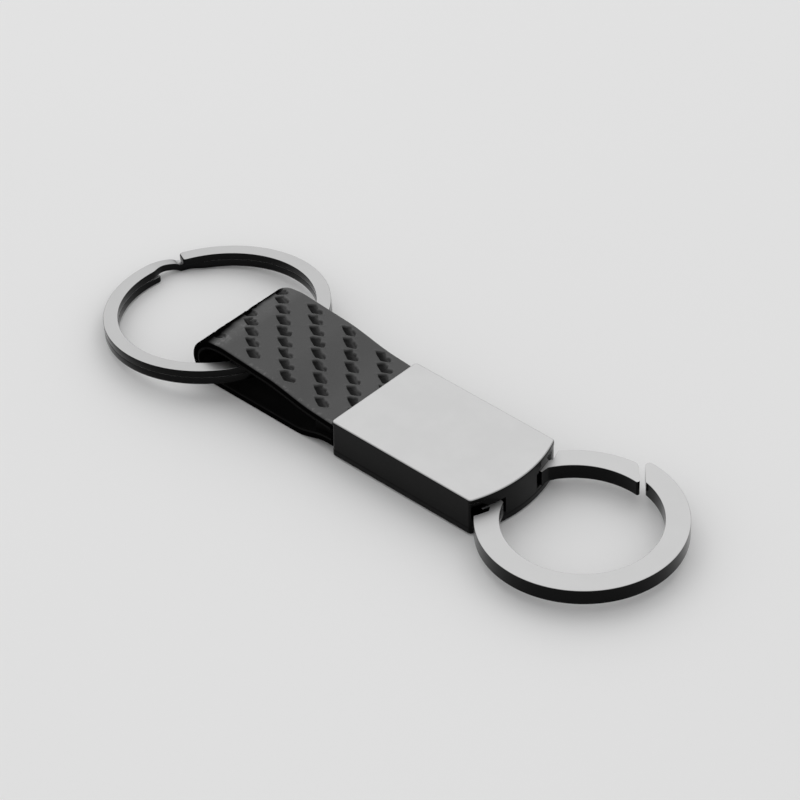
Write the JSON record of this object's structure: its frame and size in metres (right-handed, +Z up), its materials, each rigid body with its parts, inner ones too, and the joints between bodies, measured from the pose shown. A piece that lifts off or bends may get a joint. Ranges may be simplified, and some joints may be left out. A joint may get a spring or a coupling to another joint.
{
  "type": "key organiser",
  "caption": "Flat key organiser: polished metal case with an opening front ring and a leather strap looped round a split ring.",
  "frame": {"origin": "centre of the case's flat underside", "axes": "+X towards the opening front ring, +Y across the case, +Z up out of the polished top plate"},
  "size_m": [0.1039, 0.034, 0.0072],
  "materials": {
    "polished_chrome": "polished",
    "dark_chrome": "polished dark chrome",
    "spring_steel": "drawn wire",
    "steel_pin": "ground",
    "bush_brass": "turned",
    "black_leather": "embossed in a carbon weave",
    "lining_leather": "smooth"
  },
  "bodies": {
    "case": {"case_frame": "dark_chrome", "top_plate": "polished_chrome", "base_plate": "dark_chrome", "base_screw_1": "steel_pin", "base_screw_2": "steel_pin", "base_screw_3": "steel_pin", "base_screw_4": "steel_pin", "strap_pin_1": "steel_pin", "strap_pin_2": "steel_pin", "gate_pivot_pin": "steel_pin", "gate_washer": "steel_pin", "gate_spring": "spring_steel", "gate_stop_pin": "steel_pin", "fixed_arm": "polished_chrome", "fixed_arm_pin_1": "steel_pin", "fixed_arm_pin_2": "steel_pin"},
    "gate": {"gate_arm": "polished_chrome", "gate_bush": "bush_brass"},
    "strap": {"strap_outer": "black_leather", "strap_lining": "lining_leather", "strap_filler": "lining_leather"},
    "rear_ring": {"rear_split_ring": "polished_chrome"}
  },
  "joints": [
    {"name": "gate_swing", "type": "hinge", "parent": "case", "child": "gate", "pos_m": [0.0121, -0.0049, 0.00308], "axis": [0, 0, -1], "range_deg": [0, 10], "stiffness_Nm_per_rad": 0.03, "springref_deg": -34.38, "deforming": ["gate_spring"]},
    {"name": "strap_flex", "type": "hinge", "parent": "case", "child": "strap", "pos_m": [-0.0145, 0, 0.0034], "axis": [0, 1, 0], "range_deg": [-15, 25], "stiffness_Nm_per_rad": 0.05, "deforming": ["strap_outer", "strap_lining", "strap_filler"]},
    {"name": "rear_ring_swing", "type": "hinge", "parent": "strap", "child": "rear_ring", "pos_m": [-0.033, 0, 0.0035], "axis": [0, 1, 0], "range_deg": [-2.5, 24]}
  ]
}
